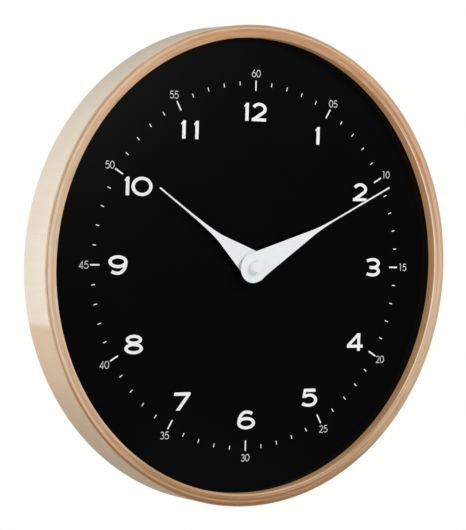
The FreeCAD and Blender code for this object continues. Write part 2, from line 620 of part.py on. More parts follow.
def make_motion_work():
    motion_phase = meshed_phase(CANNON, 0.0, MOTION, MOTION_TURN)
    hour_phase = meshed_phase(MOTION_PINION, 0.0, HOUR, MOTION_TURN + math.pi)
    knob_phase = meshed_phase(MOTION, motion_phase, KNOB, KNOB_TURN)

    end_gap, end_play = size("dim.end_gap"), size("dim.end_play")
    pipe_front = size(f"{DIAL} - dim.hour_level - dim.pipe_proud")
    bore = size("dim.minute_radius") + GAP
    wheel = gear(HOUR, HOUR_MODULE, layer("hour_layer"), PINION, hour_phase)
    pipe = shaft(size("dim.pipe_radius"), pipe_front, layer("hour_layer") + PINION)
    hour = fused(wheel, pipe).cut(shaft(bore, pipe_front, layer("hour_layer") + PINION))
    made("hour_wheel", hour)

    pinion_front = layer("hour_layer") + end_gap
    disc_front = layer("motion_layer")
    motion = fused(gear(MOTION, SETTING_MODULE, disc_front, WHEEL, motion_phase),
                   gear(MOTION_PINION, HOUR_MODULE, pinion_front, disc_front - pinion_front, 0.0))
    motion_bore = shaft(size("dim.motion_pin") + GAP, pinion_front, disc_front + WHEEL)
    made("motion_wheel", motion.cut(motion_bore), *MOTION_PLACE)

    seat = size(f"{DIAL} - dim.minute_level")
    thread_front = seat - size("dim.cap_bore_deep") + end_play
    stub_back = layer("spring_layer") + size("dim.stub_over")
    arbor = fused(shaft(size("dim.minute_thread"), thread_front, seat - end_gap),
                  shaft(size("dim.minute_radius"), seat - end_gap, size(MIDDLE_BACK)),
                  gear(CANNON, SETTING_MODULE, layer("cannon_layer"), PINION, 0.0),
                  shaft(size("dim.minute_stub"), size(MIDDLE_BACK), stub_back))
    made("minute_arbor", arbor.cut(shaft(ARBOR + GAP, FLOOR, stub_back)))

    neck_front = size(COVER_FRONT) - size("dim.knob_neck_long")
    grip_front = size(COVER_BACK) + end_play
    gear_front = layer("motion_layer") - GAP
    knob = fused(shaft(size("dim.knob_pivot"), FLOOR + end_play, gear_front),
                 gear(KNOB, SETTING_MODULE, gear_front, WHEEL + 2 * GAP, knob_phase),
                 shaft(size("dim.knob_shaft"), gear_front, neck_front),
                 shaft(size("dim.knob_neck"), neck_front, grip_front),
                 gear(size("dim.knurl_teeth"), SETTING_MODULE, grip_front, size("dim.knob_grip"), 0.0))
    made("set_knob", knob, *KNOB_PLACE)


# ---- going train ----


def make_going_train():
    rotor_phase = 0.0
    inter_phase = meshed_phase(ROTOR, rotor_phase, INTER, ROTOR_TURN + math.pi)
    seconds_phase = meshed_phase(INTER_PINION, 0.0, SECONDS, INTER_TURN + math.pi)
    third_phase = meshed_phase(SECONDS_PINION, 0.0, THIRD, THIRD_TURN)
    centre_phase = meshed_phase(THIRD_PINION, 0.0, CENTRE, THIRD_TURN + math.pi)

    centre = gear(CENTRE, CENTRE_MODULE, layer("centre_layer"), WHEEL, centre_phase)
    centre_bore = shaft(size("dim.minute_stub") + GAP, layer("centre_layer"), layer("centre_layer") + WHEEL)
    made("centre_wheel", centre.cut(centre_bore))
    spring_front = layer("spring_layer")
    spring_back = spring_front + size("dim.spring_thick")
    spring = shaft(size("dim.spring_radius"), spring_front, spring_back)
    made("friction_spring", spring.cut(shaft(size("dim.minute_stub") + GAP / 2, spring_front, spring_back)))

    made("third_wheel", fused(shaft(ARBOR, PIVOT_FRONT, PIVOT_BACK),
                              gear(THIRD_PINION, CENTRE_MODULE, layer("third_pinion_layer"), PINION, 0.0),
                              gear(THIRD, THIRD_MODULE, layer("third_layer"), WHEEL, third_phase)),
         *THIRD_PLACE)
    made("seconds_wheel", fused(shaft(ARBOR, FLOOR + size("dim.seconds_reach"), PIVOT_BACK),
                                gear(SECONDS_PINION, THIRD_MODULE,
                                      layer("seconds_pinion_layer"), PINION, 0.0),
                                gear(SECONDS, INTER_MODULE, layer("seconds_layer"), WHEEL, seconds_phase)))
    made("intermediate_wheel", fused(shaft(ARBOR, PIVOT_FRONT, PIVOT_BACK),
                                     gear(INTER_PINION, INTER_MODULE,
                                           layer("inter_pinion_layer"), PINION, 0.0),
                                     gear(INTER, ROTOR_MODULE, layer("inter_layer"),
                                          size("dim.inter_thick"), inter_phase)), *INTER_PLACE)
    made("rotor_pinion", fused(shaft(ARBOR, PIVOT_FRONT, PIVOT_BACK),
                               gear(ROTOR, ROTOR_MODULE, layer("rotor_pinion_layer"), WHEEL, rotor_phase)),
         *ROTOR_PLACE)
    magnet_front = layer("magnet_layer")
    magnet_back = magnet_front + size("dim.magnet_thick")
    magnet = shaft(size("dim.magnet_radius"), magnet_front, magnet_back)
    made("rotor_magnet", magnet.cut(shaft(ARBOR + GAP / 2, magnet_front, magnet_back)), *ROTOR_PLACE)


# ---- motor and electronics ----


def make_motor():
    front = f"({CASE_FLOOR} + dim.stator_layer)"
    back = f"({front} + dim.stator_thick)"
    core_front = f"({front} - dim.stator_thick)"
    right = "dim.coil_x + dim.leg_width / 2"
    upper_low = "dim.core_high - dim.leg_width"
    ring = block("-dim.ring_left", "dim.ring_right", front, back, "dim.ring_low", "dim.core_high")
    upper_leg = block("dim.ring_right", right, front, back, upper_low, "dim.core_high")
    link = block("dim.ring_right", "dim.link_right", front, back, "dim.link_low", "dim.link_high")
    down = block("dim.link_left", "dim.link_right", front, back, "-dim.core_low", "dim.link_high")
    lower_leg = block("dim.link_left", right, front, back, "-dim.core_low", "-dim.core_low + dim.leg_width")
    keep("stator", cut(join(ring, upper_leg, link, down, lower_leg),
                       rod("dim.stator_bore", front, back, *ROTOR_PLACE)))

    left = "dim.coil_x - dim.leg_width / 2"
    keep("coil_core", block(left, right, core_front, front, "-dim.core_low", "dim.core_high"))
    middle = f"{core_front} + dim.stator_thick / 2"
    low, high = "dim.coil_low", "dim.coil_high"
    spool = join(post("dim.bobbin_tube", low, high, "dim.coil_x", middle),
                 post("dim.bobbin_flange", low, f"{low} + dim.bobbin_flange_thick", "dim.coil_x", middle),
                 post("dim.bobbin_flange", f"{high} - dim.bobbin_flange_thick", high, "dim.coil_x", middle))
    slot = block(f"{left} - dim.fit_gap", f"{right} + dim.fit_gap", f"{core_front} - dim.fit_gap",
                 f"{front} + dim.fit_gap", low, high)
    keep("coil_bobbin", cut(spool, slot))
    wound_low = f"{low} + dim.bobbin_flange_thick + dim.winding_gap"
    wound_high = f"{high} - dim.bobbin_flange_thick - dim.winding_gap"
    keep("coil_winding", cut(post("dim.winding_radius", wound_low, wound_high, "dim.coil_x", middle),
                             post("dim.bobbin_tube + dim.winding_gap", wound_low, wound_high,
                                  "dim.coil_x", middle)))


def make_circuit():
    back = f"({MIDDLE_BACK} + dim.circuit_thick)"
    keep("circuit_board", block("dim.circuit_left", "dim.circuit_right", MIDDLE_BACK, back,
                                "-dim.circuit_low", "dim.circuit_high"))
    keep("timing_chip", block("dim.chip_left", "dim.chip_left + dim.chip_size", back,
                              f"{back} + dim.chip_thick", "-dim.chip_low", "-dim.chip_low + dim.chip_size"))
    keep("quartz_crystal", bar_along_x("dim.crystal_radius", "dim.crystal_left",
                                       "dim.crystal_left + dim.crystal_length",
                                       f"{back} + dim.crystal_radius", "-dim.crystal_low"))


def make_power():
    middle = f"({CASE_FLOOR} + dim.cell_layer)"
    cell_right = "-dim.cell_left + dim.cell_length"
    can = bar_along_x("dim.cell_radius", "-dim.cell_left", cell_right, middle, "-dim.cell_low")
    nub = bar_along_x("dim.nub_radius", cell_right, f"{cell_right} + dim.nub_length", middle,
                      "-dim.cell_low")
    keep("battery", join(can, nub))

    strap_front = f"({CASE_FLOOR} + dim.strap_layer)"
    strap_back = f"{strap_front} + dim.strap_wide"
    plate_back = f"{middle} + dim.contact_rise"
    inset, outer = "-dim.contact_inset", "dim.contact_inset + dim.contact_thick"
    low = "-dim.cell_low - dim.contact_half"
    keep("battery_positive_contact", block("dim.contact_inset", outer, strap_front, plate_back, low,
                                           "-dim.positive_high"))
    plate = block(f"-({outer})", inset, strap_front, plate_back, low, "-dim.strap_high")
    strap = block(f"-({outer})", "dim.strap_right", strap_front, strap_back,
                  "-dim.strap_high - dim.contact_thick", "-dim.strap_high")
    leaf = padded("contact_leaf", [(inset, "-dim.cell_low - dim.leaf_half"),
                                   ("-dim.cell_left - dim.leaf_press", "-dim.cell_low"),
                                   (inset, "-dim.cell_low + dim.leaf_half"),
                                   (inset, "-dim.cell_low + dim.leaf_inner"),
                                   ("-dim.cell_left - dim.leaf_slack", "-dim.cell_low"),
                                   (inset, "-dim.cell_low - dim.leaf_inner")],
                  f"{middle} + dim.leaf_wide / 2", "dim.leaf_wide")
    keep("battery_negative_contact", join(plate, strap, leaf))


def check_and_export():
    """Stop on any failed object or bad shape, then write one file for each piece."""
    doc.recompute()
    failed = [thing.Name for thing in doc.Objects if "Invalid" in thing.State or "Error" in thing.State]
    if failed:
        raise RuntimeError(f"failed objects: {failed}")
    for piece in nodes:
        if piece.Shape.isNull() or not piece.Shape.isValid() or not piece.Shape.Solids:
            raise RuntimeError(f"bad shape: {piece.Label}")
    os.makedirs("parts", exist_ok=True)
    for piece in nodes:
        piece.Shape.exportStep(f"parts/{piece.Label}.step")
        print(f"{piece.Label}: {len(piece.Shape.Solids)} solid(s), {piece.Shape.Volume:.1f} mm3")


make_hoop()
make_dial()
make_clips()
make_hanger()
make_fixing()
make_hands()
make_cap()
make_front_case()
make_rear_cover()
make_plates()
make_motion_work()
make_going_train()
make_motor()
make_circuit()
make_power()
check_and_export()
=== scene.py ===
import json
import math

import bmesh
import bpy
from mathutils import Matrix, Vector


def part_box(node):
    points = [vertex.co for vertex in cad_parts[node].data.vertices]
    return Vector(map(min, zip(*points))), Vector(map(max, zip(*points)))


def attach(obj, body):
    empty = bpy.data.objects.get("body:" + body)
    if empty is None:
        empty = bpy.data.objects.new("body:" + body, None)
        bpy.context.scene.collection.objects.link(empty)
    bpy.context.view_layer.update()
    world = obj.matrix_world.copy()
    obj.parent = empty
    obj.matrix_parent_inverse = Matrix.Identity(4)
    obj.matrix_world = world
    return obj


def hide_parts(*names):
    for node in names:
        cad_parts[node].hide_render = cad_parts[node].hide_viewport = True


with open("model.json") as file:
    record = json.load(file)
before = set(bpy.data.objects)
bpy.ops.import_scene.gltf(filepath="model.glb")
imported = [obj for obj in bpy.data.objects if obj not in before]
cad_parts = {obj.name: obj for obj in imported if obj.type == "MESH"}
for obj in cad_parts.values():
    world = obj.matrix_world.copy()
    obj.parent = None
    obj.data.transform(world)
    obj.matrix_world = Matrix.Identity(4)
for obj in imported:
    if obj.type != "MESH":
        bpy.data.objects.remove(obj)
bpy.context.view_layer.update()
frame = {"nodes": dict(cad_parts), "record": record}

MM = 0.001
FIXED = "clock_frame"
NODES = frame["nodes"]

# Places and sizes in metres, most taken from the imported model
RIM_LOW, RIM_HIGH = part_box("rim_hoop")
FACE_LOW, FACE_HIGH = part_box("dial_sheet")
AXIS_Z = (RIM_LOW.z + RIM_HIGH.z) / 2
RIM_RADIUS = (RIM_HIGH.x - RIM_LOW.x) / 2
RIM_FRONT = RIM_LOW.y
RIM_BACK = RIM_HIGH.y
FACE_RADIUS = (FACE_HIGH.x - FACE_LOW.x) / 2
DIAL_Y = FACE_LOW.y
RIM_WALL = 9.2 * MM
RIM_INNER = RIM_RADIUS - RIM_WALL
REBATE_GAP = 0.4 * MM
REBATE_RADIUS = FACE_RADIUS + REBATE_GAP
DIAL_CENTRE = Vector((0, DIAL_Y, AXIS_Z))
INK = 0.06 * MM


# ---- colour and material helpers ----


def srgb(red, green, blue):
    """A linear colour from 0-255 display values."""
    def linear(value):
        share = value / 255
        return share / 12.92 if share <= 0.04045 else ((share + 0.055) / 1.055) ** 2.4
    return (linear(red), linear(green), linear(blue), 1.0)


class Nodes:
    """A node tree that is built up a step at a time."""

    def __init__(self, tree):
        self.nodes = tree.nodes
        self.links = tree.links

    def add(self, kind, **values):
        node = self.nodes.new(kind)
        for name, value in values.items():
            setattr(node, name, value)
        return node

    def put(self, socket, value):
        """Link an output, or set a constant."""
        if isinstance(value, bpy.types.NodeSocket):
            self.links.new(value, socket)
        else:
            socket.default_value = value

    def maths(self, operation, first, second=0.0):
        node = self.add("ShaderNodeMath", operation=operation)
        self.put(node.inputs[0], first)
        self.put(node.inputs[1], second)
        return node.outputs[0]

    def split(self, vector):
        node = self.add("ShaderNodeSeparateXYZ")
        self.put(node.inputs[0], vector)
        return node.outputs

    def step(self, value, low, high):
        """A smooth step from 0 at low to 1 at high, which may be the lesser."""
        node = self.add("ShaderNodeMapRange", interpolation_type="SMOOTHSTEP")
        upward = low < high
        self.put(node.inputs["Value"], value)
        node.inputs["From Min"].default_value = min(low, high)
        node.inputs["From Max"].default_value = max(low, high)
        node.inputs["To Min"].default_value = 0.0 if upward else 1.0
        node.inputs["To Max"].default_value = 1.0 if upward else 0.0
        return node.outputs[0]

    def mix(self, factor, first, second, blend="MIX"):
        node = self.add("ShaderNodeMix", data_type="RGBA", blend_type=blend)
        self.put(node.inputs[0], factor)
        self.put(node.inputs[6], first)
        self.put(node.inputs[7], second)
        return node.outputs[2]


class Surface(Nodes):
    """A material."""

    def __init__(self, name, roughness=0.5, metallic=0.0, specular=0.5):
        self.material = bpy.data.materials.new(name)
        self.material.use_nodes = True
        super().__init__(self.material.node_tree)
        self.shader = self.nodes["Principled BSDF"]
        self.shader.inputs["Roughness"].default_value = roughness
        self.shader.inputs["Metallic"].default_value = metallic
        self.shader.inputs["Specular IOR Level"].default_value = specular
        self.place = self.add("ShaderNodeTexCoord").outputs["Object"]

    def join(self, first, second, third, scales):
        """A vector from three values, each times its scale."""
        node = self.add("ShaderNodeCombineXYZ")
        for socket, value, scale in zip(node.inputs, (first, second, third), scales):
            self.put(socket, self.maths("MULTIPLY", value, scale))
        return node.outputs[0]

    def scaled(self, stretch):
        """The place, stretched by a factor along each axis."""
        node = self.add("ShaderNodeMapping")
        self.put(node.inputs["Vector"], self.place)
        node.inputs["Scale"].default_value = stretch
        return node.outputs[0]

    def noise(self, scale, vector=None, detail=4.0, rough=0.55):
        node = self.add("ShaderNodeTexNoise")
        self.put(node.inputs["Vector"], self.place if vector is None else vector)
        node.inputs["Scale"].default_value = scale
        node.inputs["Detail"].default_value = detail
        node.inputs["Roughness"].default_value = rough
        return node.outputs["Fac"]

    def ramp(self, factor, stops):
        """A colour for each place from 0 to 1."""
        node = self.add("ShaderNodeValToRGB")
        self.put(node.inputs["Fac"], factor)
        elements = node.color_ramp.elements
        while len(elements) < len(stops):
            elements.new(0.5)
        for element, (position, colour) in zip(elements, stops):
            element.position = position
            element.color = colour
        return node.outputs["Color"]

    def colour(self, value):
        self.put(self.shader.inputs["Base Color"], value)

    def bump(self, height, strength, distance):
        node = self.add("ShaderNodeBump")
        self.put(node.inputs["Height"], height)
        node.inputs["Strength"].default_value = strength
        node.inputs["Distance"].default_value = distance
        self.put(self.shader.inputs["Normal"], node.outputs[0])

    def roughness_between(self, factor, low, high):
        node = self.add("ShaderNodeMapRange")
        self.put(node.inputs["Value"], factor)
        node.inputs["To Min"].default_value = low
        node.inputs["To Max"].default_value = high
        self.put(self.shader.inputs["Roughness"], node.outputs[0])


def mottled(name, dark, light, scale, roughness, metallic=0.0, specular=0.5, grain=(1, 1, 1), relief=0.02):
    """A surface whose colour, roughness and height all vary a little with one noise."""
    surface = Surface(name, roughness, metallic, specular)
    factor = surface.noise(scale, surface.scaled(grain))
    surface.colour(surface.ramp(factor, [(0.3, dark), (0.7, light)]))
    surface.roughness_between(factor, roughness * 0.88, min(roughness * 1.12, 1.0))
    surface.bump(factor, 0.25, relief * MM)
    return surface.material


def round_the_axis(surface):
    """Radius from the hands' axis and depth in metres, and the turn clockwise from the top in radians."""
    across, depth, up = surface.split(surface.place)
    rise = surface.maths("SUBTRACT", up, AXIS_Z)
    radius = surface.maths("SQRT", surface.maths("ADD", surface.maths("MULTIPLY", across, across),
                                                 surface.maths("MULTIPLY", rise, rise)))
    return radius, surface.maths("ARCTAN2", across, rise), depth


def sector(surface, turn, middle, half, soft=14.0):
    """1 in a sector of the hoop and 0 outside it, all in degrees clockwise from the top."""
    nearness = surface.maths("COSINE", surface.maths("SUBTRACT", turn, math.radians(middle)))
    return surface.step(nearness, math.cos(math.radians(half + soft)), math.cos(math.radians(half - soft)))


def hill(surface, value, middle, reach):
    """1 at a middle value, falling to 0 at its reach."""
    distance = surface.maths("ABSOLUTE", surface.maths("SUBTRACT", value, middle))
    return surface.step(distance, reach, 0.0)


def at_angle(degrees):
    """Where a turn clockwise from the top lies on a ramp that begins and ends at the bottom."""
    return ((degrees + 180) % 360) / 360


# Tone of the hoop's edge round its turn, against the colour of its middle ply. The tones are matched to
# one view, so besides the wood's own variation they hold painted sheen and painted shade; the pale tones
# at the left and right are painted sheen along the grain.
EDGE_TONES = [(181, (0.53, 0.37, 0.26)), (210, (0.60, 0.45, 0.32)), (240, (0.86, 0.73, 0.64)),
              (270, (1.00, 0.98, 0.96)), (300, (0.88, 0.80, 0.73)), (330, (0.79, 0.64, 0.51)),
              (0, (0.68, 0.51, 0.38)), (30, (0.77, 0.59, 0.43)), (60, (0.79, 0.62, 0.50)),
              (90, (0.96, 0.86, 0.83)), (120, (0.80, 0.73, 0.68)), (150, (0.62, 0.49, 0.38)),
              (179, (0.53, 0.37, 0.26))]
# The plies that show more than the others, with some painted sheen and shade among them; the pale mark at
# 88 degrees on the inner edge is a painted highlight on the inner arris. Middle and half of the arc in
# degrees, place across the edge from 0 (inner) to 1 (outer), reach, colour and strength
PLY_AND_SHEEN_MARKS = [(2, 44, 0.72, 0.07, (236, 205, 168), 0.75), (262, 58, 0.81, 0.045, (150, 106, 74), 0.90),
             (278, 52, 0.60, 0.14, (242, 222, 196), 0.60),
             (320, 34, 0.36, 0.16, (236, 190, 140), 0.55), (20, 50, 0.42, 0.22, (196, 132, 78), 0.50),
             (172, 30, 0.86, 0.16, (142, 96, 60), 0.60), (206, 34, 0.80, 0.16, (140, 94, 60), 0.75),
             (180, 20, 0.45, 0.14, (138, 96, 58), 0.60), (205, 22, 0.60, 0.08, (214, 186, 152), 0.50),
             (176, 20, 0.10, 0.12, (232, 200, 160), 0.70), (212, 26, 0.10, 0.12, (196, 148, 98), 0.60),
             (240, 22, 0.10, 0.12, (240, 212, 182), 0.60), (88, 34, 0.03, 0.14, (246, 228, 208), 0.80),
             (64, 30, 0.34, 0.12, (152, 108, 74), 0.70), (130, 44, 0.30, 0.08, (226, 198, 168), 0.50),
             (70, 30, 0.60, 0.10, (232, 192, 154), 0.60), (70, 50, 0.84, 0.14, (186, 158, 130), 0.70)]


def hoop_material():
    """Laminated birch: pale face veneer outside, ply edges front and back, with painted sheen and shade."""
    surface = Surface("hoop_birch", roughness=0.5, specular=0.3)
    radius, turn, depth = round_the_axis(surface)
    along = surface.maths("MULTIPLY", turn, RIM_RADIUS)
    share = surface.maths("DIVIDE", surface.maths("SUBTRACT", radius, RIM_INNER), RIM_RADIUS - RIM_INNER)

    streaks = surface.noise(1.0, surface.join(along, depth, radius, (620, 40, 900)), detail=5.0, rough=0.6)
    cloud = surface.noise(1.0, surface.join(along, depth, radius, (24, 40, 60)), detail=3.0)
    fleck = surface.noise(1.0, surface.join(along, depth, radius, (420, 900, 1500)), detail=4.0, rough=0.65)
    fibre = surface.noise(1.0, surface.join(along, depth, radius, (45, 500, 1100)), detail=4.0, rough=0.6)
    compass = surface.join(surface.maths("COSINE", turn), surface.maths("SINE", turn), 0.0, (1, 1, 1))
    wander = surface.noise(2.2, compass, detail=3.0)

    # the plies wander a little across the edge, so that they aren't drawn with a pair of compasses
    place = share
    for unevenness, amount in ((wander, 0.10), (fleck, 0.05)):
        shift = surface.maths("MULTIPLY", surface.maths("SUBTRACT", unevenness, 0.5), amount)
        place = surface.maths("ADD", place, shift)
    plies_sheen_and_shade = surface.ramp(fibre, [(0.32, srgb(202, 166, 126)), (0.50, srgb(220, 193, 163)),
                                 (0.68, srgb(236, 216, 192))])
    whole_turn = surface.maths("ADD", surface.maths("DIVIDE", turn, 2 * math.pi), 0.5)
    # painted sheen and painted shade round the turn of the edge, from EDGE_TONES
    tones = surface.ramp(whole_turn,
                         sorted((at_angle(degrees), (*tone, 1.0)) for degrees, tone in EDGE_TONES))
    plies_sheen_and_shade = surface.mix(1.0, plies_sheen_and_shade, tones, "MULTIPLY")
    inner = surface.ramp(fibre, [(0.3, srgb(192, 144, 98)), (0.7, srgb(210, 164, 118))])
    # the ply marks, among them painted sheen and a painted highlight on the inner arris
    for middle, half, across, reach, colour, strength in PLY_AND_SHEEN_MARKS:
        shown = surface.maths("MULTIPLY", sector(surface, turn, middle, half),
                              hill(surface, place, across, reach))
        plies_sheen_and_shade = surface.mix(surface.maths("MULTIPLY", shown, strength), plies_sheen_and_shade, srgb(*colour))
    # a pale band at the outer edge: partly the face veneer's pale end, partly a painted highlight on the
    # outer arris
    plies_sheen_and_shade = surface.mix(surface.maths("MULTIPLY", surface.step(share, 0.90, 1.0), 0.55), plies_sheen_and_shade,
                        srgb(226, 206, 182))

    pale = surface.ramp(streaks, [(0.25, srgb(230, 217, 197)), (0.50, srgb(233, 221, 202)),
                                  (0.75, srgb(235, 224, 206))])
    warm = surface.ramp(streaks, [(0.25, srgb(213, 184, 151)), (0.50, srgb(217, 189, 157)),
                                  (0.75, srgb(220, 194, 162))])
    # a warmer veneer begins with a joint at the lower left
    veneer_and_shade = surface.mix(sector(surface, turn, 206, 50, 1.0), pale, warm)
    veneer_and_shade = surface.mix(surface.maths("MULTIPLY", surface.step(cloud, 0.3, 0.8), 0.22), veneer_and_shade,
                         srgb(214, 198, 176))
    # painted shade: the outside darkened at the lower left, near the bottom, where it faces down, away from
    # the light
    veneer_and_shade = surface.mix(surface.maths("MULTIPLY", sector(surface, turn, 206, 26, 22.0), 0.55), veneer_and_shade,
                         srgb(150, 136, 116))

    # the edges show the plies with their painted sheen and shade, the outside its veneer with painted shade
    # at the lower left, and the inside a warmer ply
    normal = surface.add("ShaderNodeNewGeometry").outputs["Normal"]
    facing = surface.maths("ABSOLUTE", surface.split(normal)[1])
    walls = surface.mix(surface.step(share, 0.4, 0.6), inner, veneer_and_shade)
    surface.colour(surface.mix(surface.step(facing, 0.45, 0.8), walls, plies_sheen_and_shade))
    surface.roughness_between(streaks, 0.44, 0.58)
    surface.bump(fleck, 0.2, 0.04 * MM)
    return surface.material


def dial_material():
    """Satin black print, with a very fine tooth."""
    surface = Surface("dial_satin_black", roughness=0.20, specular=0.12)
    tooth = surface.noise(2600.0, detail=2.0)
    cloud = surface.noise(9.0, detail=2.0)
    surface.colour(surface.ramp(cloud, [(0.3, (0.0010, 0.0011, 0.0014, 1)),
                                        (0.7, (0.0014, 0.0015, 0.0018, 1))]))
    surface.roughness_between(cloud, 0.18, 0.22)
    surface.bump(tooth, 0.05, 0.01 * MM)
    return surface.material


def board_material():
    """Raw fibreboard, with fine fibres."""
    surface = Surface("fibreboard", roughness=0.9, specular=0.2)
    fibre = surface.noise(900.0, detail=6.0, rough=0.7)
    cloud = surface.noise(25.0, detail=3.0)
    fibres = surface.ramp(fibre, [(0.3, srgb(126, 98, 70)), (0.7, srgb(172, 142, 108))])
    surface.colour(surface.mix(0.25, fibres, surface.ramp(cloud, [(0.3, srgb(134, 104, 76)),
                                                                  (0.7, srgb(166, 136, 102))])))
    surface.bump(fibre, 0.3, 0.08 * MM)
    return surface.material


def make_materials():
    """One material for each slot of the record."""
    steel = mottled("zinc_steel", srgb(150, 152, 156), srgb(186, 188, 192), 400, 0.34, 1.0,
                    grain=(0.1, 1, 3))
    brass = mottled("machined_brass", srgb(176, 136, 66), srgb(212, 176, 100), 900, 0.28, 1.0)
    return {
        "hoop_wood": hoop_material(),
        "dial_black": dial_material(),
        "board": board_material(),
        "steel": steel,
        "screw_steel": mottled("zinc_screw", srgb(166, 166, 160), srgb(196, 196, 190), 900, 0.30, 1.0),
        "gasket": mottled("gasket_rubber", srgb(18, 18, 18), srgb(30, 30, 30), 700, 0.8),
        "brass": brass,
        "hand_white": mottled("hand_white_paint", srgb(236, 239, 240), srgb(241, 243, 244), 350, 0.42,
                              specular=0.35, relief=0.006),
        "collet": brass,
        "case_black": mottled("case_plastic", srgb(22, 22, 24), srgb(33, 33, 36), 1600, 0.55, relief=0.05),
        "inner_plastic": mottled("inner_plastic", srgb(214, 212, 204), srgb(228, 226, 218), 500, 0.45),
        "gear_plastic": mottled("gear_acetal", srgb(230, 228, 220), srgb(240, 238, 230), 500, 0.38),
        "knob_plastic": mottled("knob_plastic", srgb(40, 40, 43), srgb(56, 56, 60), 1200, 0.45, relief=0.04),
        "magnet": mottled("sintered_magnet", srgb(70, 70, 74), srgb(96, 96, 100), 900, 0.5, 0.8),
        "lamination": mottled("stamped_iron", srgb(120, 122, 126), srgb(150, 152, 156), 700, 0.4, 1.0),
        "copper_wire": mottled("enamelled_copper", srgb(156, 84, 44), srgb(196, 116, 66), 1500, 0.3, 0.9,
                               grain=(1, 1, 12)),
        "circuit": mottled("solder_mask", srgb(14, 74, 38), srgb(24, 94, 50), 300, 0.35),
        "chip": mottled("chip_epoxy", srgb(18, 18, 18), srgb(28, 28, 28), 900, 0.5),
        "can": mottled("drawn_can", srgb(176, 178, 182), srgb(208, 210, 214), 800, 0.2, 1.0),
        "battery_wrap": mottled("battery_sleeve", srgb(36, 40, 46), srgb(48, 53, 60), 300, 0.32,
                                specular=0.5, relief=0.01),
        "contact": mottled("nickel_strip", srgb(176, 174, 166), srgb(206, 204, 196), 700, 0.25, 1.0),
        "ink": mottled("white_ink", srgb(240, 240, 240), srgb(248, 248, 248), 600, 0.6, specular=0.25,
                       relief=0.004),
        "thin_ink": mottled("thin_white_ink", srgb(206, 208, 210), srgb(216, 218, 220), 600, 0.6,
                            specular=0.25, relief=0.004),
    }


# ---- mesh helpers ----


def piece_from(name, mesh_builder, material, body=FIXED, slot=None):
    """An object from a bmesh, riding on a body."""
    mesh = bpy.data.meshes.new(name)
    bmesh.ops.recalc_face_normals(mesh_builder, faces=mesh_builder.faces)
    mesh_builder.to_mesh(mesh)
    mesh_builder.free()
    piece = bpy.data.objects.new(name, mesh)
    bpy.context.scene.collection.objects.link(piece)
    mesh.materials.append(material)
    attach(piece, body)
    return piece


def revolved(name, profile, material, segments=360, **where):
    """A closed ring from an outline of (radius, y) points, turned about the hands' axis."""
    builder = bmesh.new()
    rings = []
    for index in range(segments):
        angle = 2 * math.pi * index / segments
        rings.append([builder.verts.new((radius * math.sin(angle), y, AXIS_Z + radius * math.cos(angle)))
                      for radius, y in profile])
    count = len(profile)
    for index in range(segments):
        here, beyond = rings[index], rings[(index + 1) % segments]
        for corner in range(count):
            following = (corner + 1) % count
            builder.faces.new((here[corner], here[following], beyond[following], beyond[corner]))
    return piece_from(name, builder, material, **where)


def rounded_corner(centre_radius, centre_y, size, start, end, steps=6):
    """Points round a quarter turn of an outline, angles in degrees from outwards towards the back."""
    points = []
    for index in range(steps + 1):
        angle = math.radians(start + (end - start) * index / steps)
        points.append((centre_radius + size * math.cos(angle), centre_y + size * math.sin(angle)))
    return points


def shade_smooth_by_angle(piece, degrees=35):
    """Smooth shading that keeps edges sharper than an angle."""
    mesh = piece.data
    mesh.polygons.foreach_set("use_smooth", [True] * len(mesh.polygons))
    mesh.set_sharp_from_angle(angle=math.radians(degrees))


# ---- hoop and dial ----


def make_hoop(materials):
    """The hoop, finely divided, with its arrises rounded."""
    outer_round, inner_round, back_round = 0.5 * MM, 0.35 * MM, 0.3 * MM
    profile = []
    profile += rounded_corner(RIM_INNER + inner_round, RIM_FRONT + inner_round, inner_round, 180, 270)
    profile += rounded_corner(RIM_RADIUS - outer_round, RIM_FRONT + outer_round, outer_round, 270, 360)
    profile += rounded_corner(RIM_RADIUS - back_round, RIM_BACK - back_round, back_round, 0, 90)
    profile += [(REBATE_RADIUS, RIM_BACK), (REBATE_RADIUS, DIAL_Y), (RIM_INNER, DIAL_Y)]
    hoop = revolved("bentwood_hoop", profile, materials["hoop_wood"], 720, slot="hoop_wood")
    shade_smooth_by_angle(hoop)
    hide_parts("rim_hoop")


# ---- printing ----

# Each figure is drawn about its own middle, in millimetres, x right and z up. A run is a line of the pen:
# ("to", x, z) goes straight to a point, and ("arc", x, z, across, up, start, end) follows an ellipse
# about (x, z) from one angle to another, in degrees anticlockwise from the right. A plate is a solid shape.

BOLD_PEN = (1.38, 1.12)
LIGHT_PEN = (0.27, 0.27)
SAME_POINT = 1e-4
SHARPEST_CORNER, LONGEST_MITRE = 0.2, 2.5

